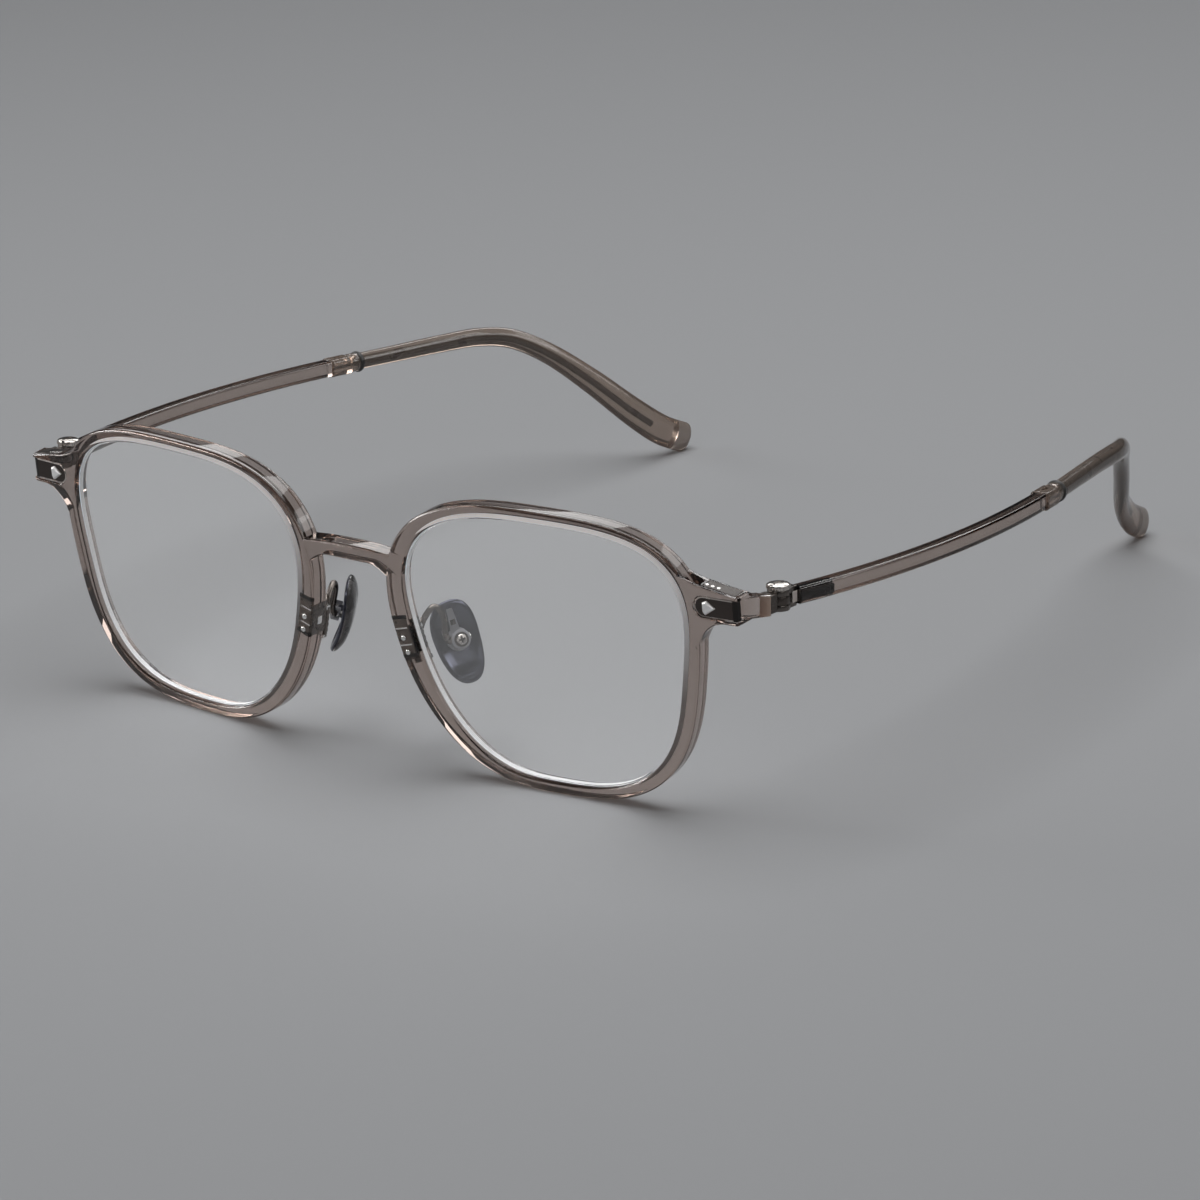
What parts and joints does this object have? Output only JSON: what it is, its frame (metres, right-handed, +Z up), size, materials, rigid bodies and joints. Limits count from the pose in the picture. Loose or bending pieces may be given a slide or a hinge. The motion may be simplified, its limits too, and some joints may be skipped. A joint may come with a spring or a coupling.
{
  "type": "square eyeglasses",
  "caption": "Square eyeglasses with a smoky taupe plastic front, clear lenses, screwed hinges, slim temples with soft curved tips and adjustable silicone nose pads",
  "frame": {"origin": "On the table under the middle of the whole object's bounding box", "axes": "+X towards the wearer's left, -Y the way the wearer looks, +Z up"},
  "size_m": [0.1532, 0.1514, 0.0463],
  "materials": {
    "taupe_plastic": "glossy translucent grey-brown moulded plastic",
    "tip_plastic": "satin translucent grey-brown plastic",
    "lens_glass": "clear, with a ground bevel",
    "dark_metal": "dark grey coated metal",
    "hinge_metal": "grey steel",
    "bright_metal": "polished bright metal",
    "black_rubber": "black rubber",
    "pad_silicone": "clear silicone with a faint violet tone"
  },
  "bodies": {
    "front": {"front_frame": "taupe_plastic", "lens_left": "lens_glass", "lens_right": "lens_glass", "end_plate_left": "dark_metal", "end_plate_right": "dark_metal", "end_rivet_left": "bright_metal", "end_rivet_right": "bright_metal", "end_insert_left": "dark_metal", "end_insert_right": "dark_metal", "front_hinge_left": "hinge_metal", "front_hinge_right": "hinge_metal", "hinge_screw_left": "bright_metal", "hinge_screw_right": "bright_metal", "pad_clip_left": "hinge_metal", "pad_clip_right": "hinge_metal", "clip_screws_left": "bright_metal", "clip_screws_right": "bright_metal", "pad_arm_left": "hinge_metal", "pad_arm_right": "hinge_metal", "pad_box_left": "hinge_metal", "pad_box_right": "hinge_metal", "pad_pin_left": "bright_metal", "pad_pin_right": "bright_metal"},
    "temple_left": {"rear_hinge_left": "hinge_metal", "temple_bar_left": "taupe_plastic", "collar_left": "taupe_plastic", "black_ring_left": "black_rubber", "temple_tip_left": "tip_plastic", "tip_wire_left": "dark_metal", "tip_end_left": "tip_plastic"},
    "temple_right": {"rear_hinge_right": "hinge_metal", "temple_bar_right": "taupe_plastic", "collar_right": "taupe_plastic", "black_ring_right": "black_rubber", "temple_tip_right": "tip_plastic", "tip_wire_right": "dark_metal", "tip_end_right": "tip_plastic"},
    "pad_left": {"nose_pad_left": "pad_silicone"},
    "pad_right": {"nose_pad_right": "pad_silicone"}
  },
  "joints": [
    {"name": "temple_left_fold", "type": "hinge", "parent": "front", "child": "temple_left", "pos_m": [0.07106, -0.06036, 0.03459], "axis": [0, 0.0662, 0.9978], "range_deg": [0, 82]},
    {"name": "temple_right_fold", "type": "hinge", "parent": "front", "child": "temple_right", "pos_m": [-0.07106, -0.06036, 0.03459], "axis": [0, -0.0662, -0.9978], "range_deg": [0, 76]},
    {"name": "pad_left_rock", "type": "hinge", "parent": "front", "child": "pad_left", "pos_m": [0.0126, -0.06391, 0.01901], "axis": [0.498, 0.848, 0.1812], "range_deg": [-10, 10]},
    {"name": "pad_right_rock", "type": "hinge", "parent": "front", "child": "pad_right", "pos_m": [-0.0126, -0.06391, 0.01901], "axis": [0.498, -0.848, -0.1812], "range_deg": [-10, 10]}
  ]
}
